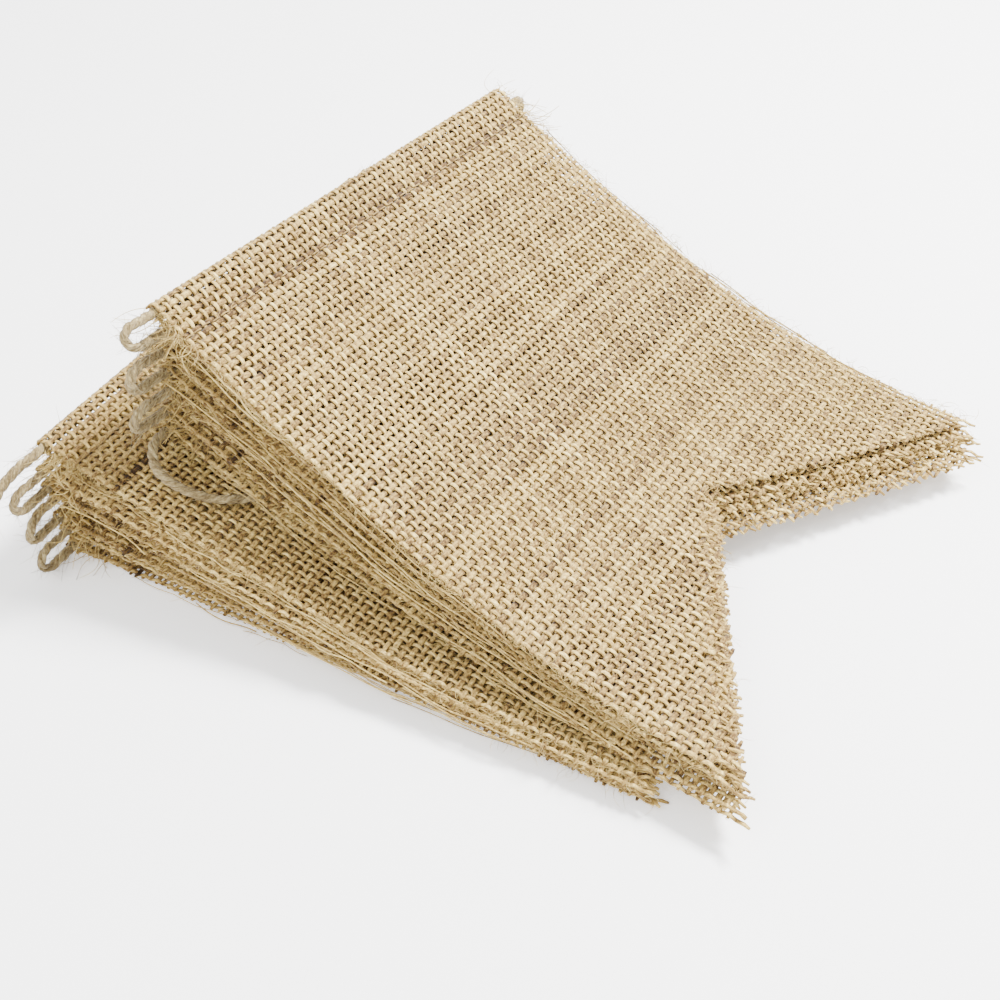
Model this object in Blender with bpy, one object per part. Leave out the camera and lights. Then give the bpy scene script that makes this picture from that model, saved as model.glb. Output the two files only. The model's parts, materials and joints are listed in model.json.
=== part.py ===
"""Burlap swallowtail bunting, put away in two piles of flags that are still threaded on their jute twine.

Units are metres, +Z is up and the floor is Z = 0. The origin is the bottom centre of the two piles, twine
tail and coil left out. Flag 0 lies on the floor. Flags 1 to 6 finish the lower pile, and 7 to 13 are the
upper pile. Across a flag runs u, along its hem; s runs along the cloth, from the twine to the tips.
"""

import math
import random

import bmesh
import bpy
import numpy as np
from mathutils import Vector

# Flag, cut and sewn
FLAG_WIDTH = 0.146
FLAG_LENGTH = 0.176  # fold to tips
NOTCH_DEPTH = 0.046
HEM_DEPTH = 0.023  # fold to the flap's raw edge
CHANNEL_DEPTH = 0.0125  # fold to the row of stitches
CLOTH = 0.00075
FLAP_STEP = 12 * CLOTH  # from the flap's raw edge to where the single cloth has settled

# Twine
TWINE = 0.0026
TWINE_CLEARANCE = 0.0003
TWINE_JOINT_GAP = 0.0003
LOOP_REACH = 0.0075  # from a hem's end to the middle of the round part of a loop
LOOP_RADIUS = 0.0032
LOOP_START = 0.003  # a loop starts and ends this far inside the two hems that it joins

# Piles
LOWER_COUNT = 7
UPPER_COUNT = 7
PLY_GAP = 0.0003  # between two flags where they lie flat
HEM_GAP = 0.0011  # between two hems
FALL_LENGTH = 0.185  # from the twine to where the cloth lies flat
LOWER_HEM = Vector((-0.0896, 0.0402))  # middle of the lower pile's hem line
LOWER_HEADING = math.radians(62.0)  # direction of the lower hem line, from +X
SETBACK_LEFT = 0.0250  # upper hem behind lower hem, at the upper hem's left end
SETBACK_RIGHT = 0.0420
SIDE_SHIFT = 0.0230  # upper hem's left end, in from the lower flags' left edge
PILE_CLEARANCE = 0.0045  # upper pile above the lower one, at its hem
JITTER_U = 0.0030
JITTER_V = 0.0004
JITTER_TURN = math.radians(0.35)
SEED = 11

# Mesh steps
COLUMNS = 6  # faces across a flag
ARC_STEPS = 7  # around the hem
SHEET_STEPS = 11  # along the cloth
HEM_OPENING = math.radians(75)  # half the angle, seen from the twine, that the hem's ring leaves to the cloth
PROFILE_SAMPLES = 400
TWINE_SIDES = 2  # bevel resolution
ROUTE_STEP = 1.5 * TWINE
ROUTE_SAMPLES = 16  # between two points of a route

# Free tail, from the left end of the lower pile's top hem to the floor, and the coil of its unseen length
TAIL_ROUTE = (
    (-0.1223, -0.0209, 0.0371),
    (-0.1255, -0.0268, 0.0371),
    (-0.1283, -0.0314, 0.0369),
    (-0.1327, -0.0374, 0.0330),
    (-0.1353, -0.0432, 0.0226),
    (-0.1395, -0.0483, 0.0110),
    (-0.1465, -0.0506, 0.0038),
    (-0.1546, -0.0476, 0.0017),
    (-0.1645, -0.0375, 0.0016),
)
COIL_CENTRE = (-0.1821, -0.0328)
COIL_TURNS_WIDE = 2
COIL_TURNS_HIGH = 2
COIL_MEAN_RADIUS = 5.5 * TWINE
COIL_SEGMENTS = 32

# Free end of the upper pile's twine, from the left end of its lowest hem to between the two piles
TUCKED_ROUTE = (
    (-0.0912, -0.0154, 0.0379),
    (-0.0941, -0.0195, 0.0379),
    (-0.0954, -0.0240, 0.0371),
    (-0.0935, -0.0291, 0.0348),
    (-0.0883, -0.0321, 0.0321),
    (-0.0814, -0.0327, 0.0288),
    (-0.0744, -0.0314, 0.0270),
    (-0.0674, -0.0284, 0.0258),
    (-0.0590, -0.0233, 0.0246),
    (-0.0486, -0.0172, 0.0228),
    (-0.0373, -0.0116, 0.0210),
)

BURLAP = (0.52, 0.39, 0.25, 1.0)
JUTE = (0.47, 0.40, 0.28, 1.0)

channel_radius = TWINE / 2 + TWINE_CLEARANCE
hem_radius = channel_radius + CLOTH
hem_pitch = 2 * hem_radius + HEM_GAP
ply_pitch = CLOTH + PLY_GAP
flag_count = LOWER_COUNT + UPPER_COUNT
stitch_s = CHANNEL_DEPTH - hem_radius
raw_edge_s = HEM_DEPTH - hem_radius
tip_s = FLAG_LENGTH - hem_radius
notch_s = tip_s - NOTCH_DEPTH


def clear_scene():
    for obj in list(bpy.data.objects):
        bpy.data.objects.remove(obj, do_unlink=True)


def material(name, colour, roughness):
    made = bpy.data.materials.new(name)
    made.use_nodes = True
    shader = made.node_tree.nodes["Principled BSDF"]
    shader.inputs["Base Color"].default_value = colour
    shader.inputs["Roughness"].default_value = roughness
    shader.inputs["Metallic"].default_value = 0.0
    return made


def add_object(name, data, finish):
    obj = bpy.data.objects.new(name, data)
    obj.data.materials.append(finish)
    bpy.context.scene.collection.objects.link(obj)
    return obj


def fall(x):
    """Share of its hem's height that a flag still has at plan distance x from its twine."""
    t = min(max(x / FALL_LENGTH, 0.0), 1.0)
    return (1 - t) ** 3 * (1 + 1.5 * t)


def heading_vectors(heading):
    """Horizontal directions along the hem, left to right, and along the cloth, hem to tips."""
    along_hem = Vector((math.cos(heading), math.sin(heading), 0))
    along_cloth = Vector((math.sin(heading), -math.cos(heading), 0))
    return along_hem, along_cloth


class Flag:
    """Where one flag lies: its hem axis, and the curve that its cloth follows from hem to tips."""

    def __init__(self, number, hem_middle, heading, hem_height, rest_height, roll):
        self.number = number
        self.across, self.along = heading_vectors(heading)
        self.hem = Vector((hem_middle[0], hem_middle[1], hem_height))
        self.roll = roll  # rise of the hem line per metre from left to right
        self.flap_up = number % 2 == 0
        drop = hem_height - rest_height
        plan = np.linspace(0.0, FLAG_LENGTH, PROFILE_SAMPLES)
        height = np.array([drop * (fall(x) - 1) for x in plan])
        arc = np.concatenate([[0.0], np.cumsum(np.hypot(np.diff(plan), np.diff(height)))])
        self.plan, self.height, self.arc = plan, height, arc
        self.angle = np.arctan2(-np.gradient(height, arc), np.gradient(plan, arc))

    def place(self, u, s, n):
        """World point of the cloth at u across, s along it from the twine, and n above its middle."""
        at = max(s, 0.0)
        x = float(np.interp(at, self.arc, self.plan))
        z = float(np.interp(at, self.arc, self.height))
        slope = float(np.interp(at, self.arc, self.angle))
        before = min(s, 0.0)
        x_here = x + before * math.cos(slope) + n * math.sin(slope)
        z_here = z - before * math.sin(slope) + n * math.cos(slope)
        rise = u * self.roll * fall(max(x_here, 0.0))
        return self.hem + self.across * u + self.along * x_here + Vector((0, 0, z_here + rise))

    def axis(self):
        return (self.across + Vector((0, 0, self.roll))).normalized()

    def mouth(self, side, out=0.0):
        """Point on the hem axis, `out` beyond the hem's left (-1) or right (+1) end."""
        return self.place(side * (FLAG_WIDTH / 2 + out), 0.0, 0.0)


def lower_top_height(x):
    """Upper side of the lower pile's top flag, hem flap included, at plan distance x."""
    hem_height = hem_radius + (LOWER_COUNT - 1) * hem_pitch
    rest_height = CLOTH / 2 + (LOWER_COUNT - 1) * ply_pitch
    return rest_height + (hem_height - rest_height) * fall(x) + CLOTH


def make_flags():
    """The fourteen flags' places, from the floor up."""
    rng = random.Random(SEED)
    across, along = heading_vectors(LOWER_HEADING)
    turn = math.asin((SETBACK_RIGHT - SETBACK_LEFT) / FLAG_WIDTH)
    left_end = LOWER_HEM.to_3d() + across * (SIDE_SHIFT - FLAG_WIDTH / 2) + along * SETBACK_LEFT
    upper_across, _ = heading_vectors(LOWER_HEADING - turn)
    upper_hem = left_end + upper_across * FLAG_WIDTH / 2
    base_left = lower_top_height(SETBACK_LEFT) + PILE_CLEARANCE
    base_right = lower_top_height(SETBACK_RIGHT) + PILE_CLEARANCE
    base_tips = LOWER_COUNT * ply_pitch + PLY_GAP
    flags = []
    for number in range(flag_count):
        shift_u = rng.uniform(-JITTER_U, JITTER_U)
        shift_v = rng.uniform(-JITTER_V, JITTER_V)
        twist = rng.uniform(-JITTER_TURN, JITTER_TURN)
        if number < LOWER_COUNT:
            middle = LOWER_HEM.to_3d() + across * shift_u + along * shift_v
            hem_height = hem_radius + number * hem_pitch
            rest_height = CLOTH / 2 + number * ply_pitch
            flags.append(Flag(number, middle, LOWER_HEADING + twist, hem_height, rest_height, 0.0))
            continue
        level = number - LOWER_COUNT
        middle = upper_hem + upper_across * shift_u + along * shift_v
        hem_height = (base_left + base_right) / 2 + hem_radius + level * hem_pitch
        rest_height = base_tips + CLOTH / 2 + level * ply_pitch
        roll = (base_right - base_left) / FLAG_WIDTH
        heading = LOWER_HEADING - turn + twist
        flags.append(Flag(number, middle, heading, hem_height, rest_height, roll))
    return flags


def hem_cells():
    """Corners (s, n) of the cross-section's quads: the cloth's ring around the twine, then the cloth."""
    outer, inner = [], []
    for step in range(ARC_STEPS + 1):
        angle = HEM_OPENING + step * 2 * (math.pi - HEM_OPENING) / ARC_STEPS
        outer.append((hem_radius * math.cos(angle), hem_radius * math.sin(angle)))
        inner.append((channel_radius * math.cos(angle), channel_radius * math.sin(angle)))
    apex = (stitch_s - 2 * CLOTH, 0.0)
    outer = [(stitch_s, CLOTH)] + outer + [(stitch_s, -CLOTH)]
    inner = [apex] + inner + [apex]
    ring = [(outer[i], outer[i + 1], inner[i + 1], inner[i]) for i in range(len(outer) - 1)]
    return ring, (stitch_s, CLOTH), apex, (stitch_s, -CLOTH)


def sheet_stations():
    """Distances along the cloth of its cross-section's steps, past the flap's raw edge."""
    settled_s = raw_edge_s + FLAP_STEP
    return [settled_s + step * (tip_s - settled_s) / (SHEET_STEPS - 1) for step in range(SHEET_STEPS)]


def cut_s(s, u):
    """Distance along the cloth once the swallowtail is cut: the last stretch is shorter in the middle."""
    reach = notch_s + NOTCH_DEPTH * abs(u) / (FLAG_WIDTH / 2)
    last_straight = notch_s - NOTCH_DEPTH
    if s <= last_straight:
        return s
    return last_straight + (s - last_straight) * (reach - last_straight) / (tip_s - last_straight)


def flag_blank(flag):
    """The flag laid out flat: its cross-section as faces at the left edge, extruded across in columns."""
    mesh = bmesh.new()
    u_layer = mesh.verts.layers.float.new("u")
    s_layer = mesh.verts.layers.float.new("s")
    n_layer = mesh.verts.layers.float.new("n")
    corners = {}

    def corner(point):
        key = (round(point[0], 7), round(point[1], 7))
        if key not in corners:
            vert = mesh.verts.new((0, *key))
            vert[u_layer], vert[s_layer], vert[n_layer] = -FLAG_WIDTH / 2, key[0], key[1]
            corners[key] = vert
        return corners[key]

    def cell(points):
        verts = []
        for point in points:
            vert = corner(point)
            if vert not in verts:
                verts.append(vert)
        mesh.faces.new(verts)

    ring, top, apex, bottom = hem_cells()
    for points in ring:
        cell(points)
    flap_upper = (raw_edge_s, CLOTH)
    flap_middle = (raw_edge_s, 0.0)
    flap_lower = (raw_edge_s, -CLOTH)
    cell([top, apex, flap_middle, flap_upper])
    cell([apex, bottom, flap_lower, flap_middle])
    before = (flap_middle, flap_lower) if flag.flap_up else (flap_upper, flap_middle)
    for s in sheet_stations():
        after = ((s, CLOTH / 2), (s, -CLOTH / 2))
        cell([before[0], before[1], after[1], after[0]])
        before = after
    faces = list(mesh.faces)
    for column in range(1, COLUMNS + 1):
        made = bmesh.ops.extrude_face_region(mesh, geom=faces)
        if column > 1:
            bmesh.ops.delete(mesh, geom=faces, context="FACES")
        faces = [item for item in made["geom"] if isinstance(item, bmesh.types.BMFace)]
        for item in made["geom"]:
            if isinstance(item, bmesh.types.BMVert):
                item[u_layer] = -FLAG_WIDTH / 2 + column * FLAG_WIDTH / COLUMNS
    for vert in mesh.verts:
        u = vert[u_layer]
        vert.co = flag.place(u, cut_s(vert[s_layer], u), vert[n_layer])
    bmesh.ops.recalc_face_normals(mesh, faces=mesh.faces)
    if mesh.calc_volume(signed=True) < 0:
        bmesh.ops.reverse_faces(mesh, faces=mesh.faces)
    return mesh


def build_flag(flag, finish):
    mesh = flag_blank(flag)
    data = bpy.data.meshes.new(f"flag_{flag.number:02d}")
    for vert in mesh.verts:
        vert.co = vert.co - flag.hem
    mesh.to_mesh(data)
    mesh.free()
    add_object(data.name, data, finish).location = flag.hem


def smooth_route(points, step):
    """Points about `step` apart on one smooth curve through `points`."""
    points = [Vector(p) for p in points]
    padded = [2 * points[0] - points[1]] + points + [2 * points[-1] - points[-2]]
    fine = []
    for a, b, c, d in zip(padded, padded[1:], padded[2:], padded[3:]):
        for k in range(ROUTE_SAMPLES):
            t = k / ROUTE_SAMPLES
            square = (2 * a - 5 * b + 4 * c - d) * t * t
            cube = (3 * b - a - 3 * c + d) * t ** 3
            fine.append((2 * b + (c - a) * t + square + cube) / 2)
    fine.append(points[-1])
    lengths = [0.0]
    for a, b in zip(fine, fine[1:]):
        lengths.append(lengths[-1] + (b - a).length)
    count = max(2, round(lengths[-1] / step))
    made = []
    for k in range(count + 1):
        at = lengths[-1] * k / count
        made.append(Vector([np.interp(at, lengths, [p[i] for p in fine]) for i in range(3)]))
    return made


def tube(name, points, finish):
    curve = bpy.data.curves.new(name, "CURVE")
    curve.dimensions = "3D"
    curve.bevel_depth = TWINE / 2
    curve.bevel_resolution = TWINE_SIDES
    curve.use_fill_caps = True
    spline = curve.splines.new("POLY")
    spline.points.add(len(points) - 1)
    for point, place in zip(spline.points, points):
        point.co = (*place, 1)
    return add_object(name, curve, finish)


def loop_points(low, high, side, reach, radius):
    """Out of one hem's end, round, and into the hem above."""
    start, end = low.mouth(side), high.mouth(side)
    out = low.axis() * side
    inside = -LOOP_START
    lean = radius / hem_pitch - 0.5  # how far the round part stands below and above the two hems
    shape = (
        (inside, 0.0), (0.0, 0.0), (reach * 0.45, -0.2 * lean), (reach * 0.75, -0.8 * lean),
        (reach, -lean), (reach + radius * 0.75, 0.5 - 0.62 * (0.5 + lean)), (reach + radius, 0.5),
        (reach + radius * 0.75, 0.5 + 0.62 * (0.5 + lean)), (reach, 1 + lean),
        (reach * 0.75, 1 + 0.8 * lean), (reach * 0.45, 1 + 0.2 * lean), (0.0, 1.0), (inside, 1.0),
    )
    return [start.lerp(end, share) + out * distance for distance, share in shape]


def build_twine(flags, finish):
    """A length of twine for each flag: through its hem, then, where another flag follows, up to that one."""
    for flag in flags:
        side = 1 if flag.number % 2 else -1
        start = flag.mouth(-side, -LOOP_START - TWINE_JOINT_GAP)
        last = flag.number in (LOWER_COUNT - 1, flag_count - 1)
        if last:
            points = [start, flag.mouth(side, -LOOP_START)]
        else:
            above = flags[flag.number + 1]
            points = [start] + smooth_route(loop_points(flag, above, side, LOOP_REACH, LOOP_RADIUS), TWINE)
        tube(f"twine_{flag.number:02d}", points, finish)


def build_coil(finish):
    """Outer shape of the coiled twine: a ring with a rounded square section, lying on the floor."""
    half_width = COIL_TURNS_WIDE * TWINE / 2
    height = COIL_TURNS_HIGH * TWINE
    chamfer = TWINE / 3
    section = (
        (half_width - chamfer, 0.0), (half_width, chamfer),
        (half_width, height - chamfer), (half_width - chamfer, height),
        (chamfer - half_width, height), (-half_width, height - chamfer),
        (-half_width, chamfer), (chamfer - half_width, 0.0),
    )
    mesh = bmesh.new()
    verts = [mesh.verts.new((COIL_MEAN_RADIUS + r, 0, z)) for r, z in section]
    edges = [mesh.edges.new((a, b)) for a, b in zip(verts, verts[1:] + verts[:1])]
    bmesh.ops.spin(
        mesh, geom=verts + edges, cent=(0, 0, 0), axis=(0, 0, 1), angle=2 * math.pi,
        steps=COIL_SEGMENTS, use_merge=True,
    )
    bmesh.ops.remove_doubles(mesh, verts=mesh.verts, dist=1e-6)
    bmesh.ops.recalc_face_normals(mesh, faces=mesh.faces)
    if mesh.calc_volume(signed=True) < 0:
        bmesh.ops.reverse_faces(mesh, faces=mesh.faces)
    data = bpy.data.meshes.new("twine_coil")
    mesh.to_mesh(data)
    mesh.free()
    add_object("twine_coil", data, finish).location = (*COIL_CENTRE, 0)


def main():
    clear_scene()
    burlap = material("burlap", BURLAP, 0.9)
    jute = material("jute_twine", JUTE, 0.85)
    flags = make_flags()
    for flag in flags:
        build_flag(flag, burlap)
    build_twine(flags, jute)
    tube("tucked_end", smooth_route(TUCKED_ROUTE, ROUTE_STEP), jute)
    tube("twine_tail", smooth_route(TAIL_ROUTE, ROUTE_STEP), jute)
    build_coil(jute)


main()
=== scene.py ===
# %% [markdown]
# Burlap bunting. The real object is a row of burlap flags with swallowtail ends, each with a hem along one
# side and all of them threaded on one jute twine. It is put away in two piles. A cloth like this could be
# drawn as a plain sheet with a pattern on it, but its yarns are thick enough to see one by one, and so is the
# daylight between them. So this lesson loads the solid model of the piles as a fixed frame, then weaves each
# flag yarn by yarn where its solid lies.

# %% Load the frame
import json
import math
import random

import bpy
import numpy as np
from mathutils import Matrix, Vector

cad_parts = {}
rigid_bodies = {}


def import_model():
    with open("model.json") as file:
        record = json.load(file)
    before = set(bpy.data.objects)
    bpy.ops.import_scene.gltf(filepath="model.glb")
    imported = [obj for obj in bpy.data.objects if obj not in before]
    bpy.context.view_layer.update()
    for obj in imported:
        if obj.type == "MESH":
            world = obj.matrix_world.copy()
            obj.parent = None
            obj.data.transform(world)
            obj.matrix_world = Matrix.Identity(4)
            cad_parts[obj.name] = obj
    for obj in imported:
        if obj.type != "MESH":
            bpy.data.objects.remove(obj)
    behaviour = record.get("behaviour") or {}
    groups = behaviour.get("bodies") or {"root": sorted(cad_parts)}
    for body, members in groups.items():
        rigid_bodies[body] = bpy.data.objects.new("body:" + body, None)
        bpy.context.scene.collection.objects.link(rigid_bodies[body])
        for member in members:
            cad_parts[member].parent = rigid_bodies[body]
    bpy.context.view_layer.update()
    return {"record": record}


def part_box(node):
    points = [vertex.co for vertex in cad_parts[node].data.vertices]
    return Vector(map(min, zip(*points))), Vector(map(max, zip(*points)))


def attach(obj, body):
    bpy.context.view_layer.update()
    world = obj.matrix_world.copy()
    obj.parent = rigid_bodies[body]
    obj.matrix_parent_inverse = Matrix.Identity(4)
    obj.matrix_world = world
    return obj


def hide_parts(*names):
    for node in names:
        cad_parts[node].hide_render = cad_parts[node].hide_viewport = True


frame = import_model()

# %% [markdown]
# The camera looks down on the piles at about 45 degrees, from the side where their tips point to the right.
# A fairly long lens keeps the piles' far side nearly as large as the near side.

# %% Camera
CAMERA_AIM = Vector((-0.0071, -0.0277, 0.0231))
CAMERA_OFFSET = Vector((0.0, -0.2443, 0.2379))
CAMERA_TILT = math.radians(45.76)
CAMERA_LENS = 47.3
SENSOR_WIDTH = 36
NEAR_CLIP = 0.01
bpy.ops.object.camera_add(location=CAMERA_AIM + CAMERA_OFFSET, rotation=(CAMERA_TILT, 0, 0))
camera = bpy.context.object
camera.data.lens = CAMERA_LENS
camera.data.sensor_width = SENSOR_WIDTH
camera.data.clip_start = NEAR_CLIP
bpy.context.scene.camera = camera
print("camera", [round(v, 3) for v in camera.location])

# %% [markdown]
# Measures. They are the ones that the solids were made with, in metres. A flag is described by u, across it
# along its hem, and s, along the cloth from the twine to the tips. Height above the cloth's middle is n.

# %% Measures of a flag, the twine and the piles
FLAG_WIDTH = 0.146
FLAG_LENGTH = 0.176
NOTCH_DEPTH = 0.046
HEM_DEPTH = 0.023
CHANNEL_DEPTH = 0.0125
CLOTH = 0.00075
FLAP_STEP = 12 * CLOTH
TWINE = 0.0026
TWINE_CLEARANCE = 0.0003
TWINE_JOINT_GAP = 0.0003
LOOP_REACH = 0.0075
LOOP_RADIUS = 0.0032
LOOP_START = 0.003
LOWER_COUNT = 7
UPPER_COUNT = 7
PLY_GAP = 0.0003
HEM_GAP = 0.0011
FALL_LENGTH = 0.185
LOWER_HEM = np.array((-0.0896, 0.0402, 0.0))
LOWER_HEADING = math.radians(62.0)
SETBACK_LEFT = 0.0250
SETBACK_RIGHT = 0.0420
SIDE_SHIFT = 0.0230
PILE_CLEARANCE = 0.0045
JITTER_U = 0.0030
JITTER_V = 0.0004
JITTER_TURN = math.radians(0.35)
SEED = 11
HEM_OPENING = math.radians(75)
TAIL_ROUTE = (
    (-0.1223, -0.0209, 0.0371), (-0.1255, -0.0268, 0.0371), (-0.1283, -0.0314, 0.0369),
    (-0.1327, -0.0374, 0.0330), (-0.1353, -0.0432, 0.0226), (-0.1395, -0.0483, 0.0110),
    (-0.1465, -0.0506, 0.0038), (-0.1546, -0.0476, 0.0017), (-0.1645, -0.0375, 0.0016),
)
COIL_CENTRE = np.array((-0.1821, -0.0328, 0.0))
COIL_MEAN_RADIUS = 5.5 * TWINE
TUCKED_ROUTE = (
    (-0.0912, -0.0154, 0.0379), (-0.0941, -0.0195, 0.0379), (-0.0954, -0.0240, 0.0371),
    (-0.0935, -0.0291, 0.0348), (-0.0883, -0.0321, 0.0321), (-0.0814, -0.0327, 0.0288),
    (-0.0744, -0.0314, 0.0270), (-0.0674, -0.0284, 0.0258), (-0.0590, -0.0233, 0.0246),
    (-0.0486, -0.0172, 0.0228), (-0.0373, -0.0116, 0.0210),
)
UP = np.array((0.0, 0.0, 1.0))
channel_radius = TWINE / 2 + TWINE_CLEARANCE
hem_radius = channel_radius + CLOTH
hem_pitch = 2 * hem_radius + HEM_GAP
ply_pitch = CLOTH + PLY_GAP
half_flag = FLAG_WIDTH / 2
flag_count = LOWER_COUNT + UPPER_COUNT
stitch_s = CHANNEL_DEPTH - hem_radius
raw_edge_s = HEM_DEPTH - hem_radius
tip_s = FLAG_LENGTH - hem_radius
notch_s = tip_s - NOTCH_DEPTH
print("flags", flag_count, "hem pitch", round(hem_pitch * 1000, 2), "mm")

# %% [markdown]
# Where each flag lies. From its hem a flag falls in a soft curve until it lies flat on the flag below. The
# same curve that shaped the solids is worked out here for whole arrays of points at once, because each flag
# will hold tens of thousands of them.

# %% The curve that a flag follows
CURVE_SAMPLES = 420
CURVE_MARGIN = 0.01


def fall(x):
    """Share of its hem's height that a flag still has at plan distance x from its twine."""
    t = np.clip(np.asarray(x) / FALL_LENGTH, 0.0, 1.0)
    return (1 - t) ** 3 * (1 + 1.5 * t)


def heading_vectors(heading):
    """Directions along the hem, left to right, and along the cloth, hem to tips."""
    along_hem = np.array((math.cos(heading), math.sin(heading), 0.0))
    along_cloth = np.array((math.sin(heading), -math.cos(heading), 0.0))
    return along_hem, along_cloth


class Flag:
    """One flag's place in its pile."""

    def __init__(self, number, hem_middle, heading, hem_height, rest_height, roll):
        self.number = number
        self.across, self.along = heading_vectors(heading)
        self.hem = np.array((hem_middle[0], hem_middle[1], hem_height))
        self.roll = roll
        self.flap_up = number % 2 == 0
        self.plan = np.linspace(0.0, FLAG_LENGTH + CURVE_MARGIN, CURVE_SAMPLES)
        self.height = (hem_height - rest_height) * (fall(self.plan) - 1)
        steps = np.hypot(np.diff(self.plan), np.diff(self.height))
        self.arc = np.concatenate([[0.0], np.cumsum(steps)])
        self.angle = np.arctan2(-np.gradient(self.height, self.arc), np.gradient(self.plan, self.arc))

    def place(self, u, s, n):
        """World points at u across, s along the cloth from the twine, and n above its middle."""
        u, s, n = np.broadcast_arrays(np.asarray(u, float), np.asarray(s, float), np.asarray(n, float))
        at = np.maximum(s, 0.0)
        slope = np.interp(at, self.arc, self.angle)
        before = np.minimum(s, 0.0)
        x = np.interp(at, self.arc, self.plan) + before * np.cos(slope) + n * np.sin(slope)
        z = np.interp(at, self.arc, self.height) - before * np.sin(slope) + n * np.cos(slope)
        z = z + u * self.roll * fall(np.maximum(x, 0.0))
        return self.hem + u[..., None] * self.across + x[..., None] * self.along + z[..., None] * UP

    def axis(self):
        """Direction along the hem, its slope included."""
        axis = self.across + self.roll * UP
        return axis / np.linalg.norm(axis)

    def mouth(self, side, out=0.0):
        """Point on the hem's axis, `out` beyond its left (-1) or right (+1) end."""
        return self.place(side * (half_flag + out), 0.0, 0.0)


# %% [markdown]
# The piles. The lower one lies square, and the upper one is set back on it and turned a little, so its hem
# climbs from left to right. Small random shifts keep the edges from lining up, as in a pile laid by hand.

# %% The fourteen flags
def lower_top_height(x):
    """Height of the lower pile's upper side at plan distance x from its hem."""
    hem_height = hem_radius + (LOWER_COUNT - 1) * hem_pitch
    rest_height = CLOTH / 2 + (LOWER_COUNT - 1) * ply_pitch
    return rest_height + (hem_height - rest_height) * float(fall(x)) + CLOTH


def make_flags():
    """The fourteen flags, from the floor up."""
    rng = random.Random(SEED)
    across, along = heading_vectors(LOWER_HEADING)
    turn = math.asin((SETBACK_RIGHT - SETBACK_LEFT) / FLAG_WIDTH)
    left_end = LOWER_HEM + across * (SIDE_SHIFT - half_flag) + along * SETBACK_LEFT
    upper_across, _ = heading_vectors(LOWER_HEADING - turn)
    upper_hem = left_end + upper_across * half_flag
    base_left = lower_top_height(SETBACK_LEFT) + PILE_CLEARANCE
    base_right = lower_top_height(SETBACK_RIGHT) + PILE_CLEARANCE
    base_tips = LOWER_COUNT * ply_pitch + PLY_GAP
    made = []
    for number in range(flag_count):
        shift_u = rng.uniform(-JITTER_U, JITTER_U)
        shift_v = rng.uniform(-JITTER_V, JITTER_V)
        twist = rng.uniform(-JITTER_TURN, JITTER_TURN)
        if number < LOWER_COUNT:
            middle = LOWER_HEM + across * shift_u + along * shift_v
            hem_height = hem_radius + number * hem_pitch
            rest_height = CLOTH / 2 + number * ply_pitch
            made.append(Flag(number, middle, LOWER_HEADING + twist, hem_height, rest_height, 0.0))
            continue
        level = number - LOWER_COUNT
        middle = upper_hem + upper_across * shift_u + along * shift_v
        hem_height = (base_left + base_right) / 2 + hem_radius + level * hem_pitch
        rest_height = base_tips + CLOTH / 2 + level * ply_pitch
        roll = (base_right - base_left) / FLAG_WIDTH
        made.append(Flag(number, middle, LOWER_HEADING - turn + twist, hem_height, rest_height, roll))
    return made


flags = make_flags()
groups = frame["record"]["behaviour"]["bodies"]
body_of = {node: body for body, nodes in groups.items() for node in nodes}
low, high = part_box("flag_13")
print("top flag's left mouth", flags[13].mouth(-1).round(4), "solid", low, high)

# %% [markdown]
# Finishes. Jute is a dull straw-coloured bast fibre with darker brown streaks. A pattern fixed in space would
# cut straight across the yarns, so every yarn and strand carries its own coordinates: x along it, y around it
# and z its number, in millimetres, plus a tone of its own. The materials read those, so the streaks follow
# each yarn round its bends, and no two yarns are quite the same colour. On the cloth's yarns the tone also
# holds painted light and shade: lighter on top of each crossing and on the lengthwise yarns, darker where a
# yarn dives under, along the stitch groove and past the flap's raw edge.

# %% Helpers for node trees
STREAK_SHARE = (1.7, -0.88)
PATCH_SHARE = (0.5, -0.25)
STREAK_STRETCH = (0.35, 1.0, 1.0)
PATCH_SCALE = 0.32


def shader_node(tree, kind, **values):
    """A new node, with each value given to its setting or its input of that name."""
    made = tree.nodes.new(kind)
    for name, value in values.items():
        if hasattr(made, name):
            setattr(made, name, value)
        else:
            made.inputs[name.replace("_", " ")].default_value = value
    return made


def shifted(tree, socket, share):
    """The noise at `socket`, spread to `share` and centred on nought."""
    made = shader_node(tree, "ShaderNodeMath", operation="MULTIPLY_ADD")
    made.inputs[1].default_value = share[0]
    made.inputs[2].default_value = share[1]
    tree.links.new(socket, made.inputs[0])
    return made.outputs[0]


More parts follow.
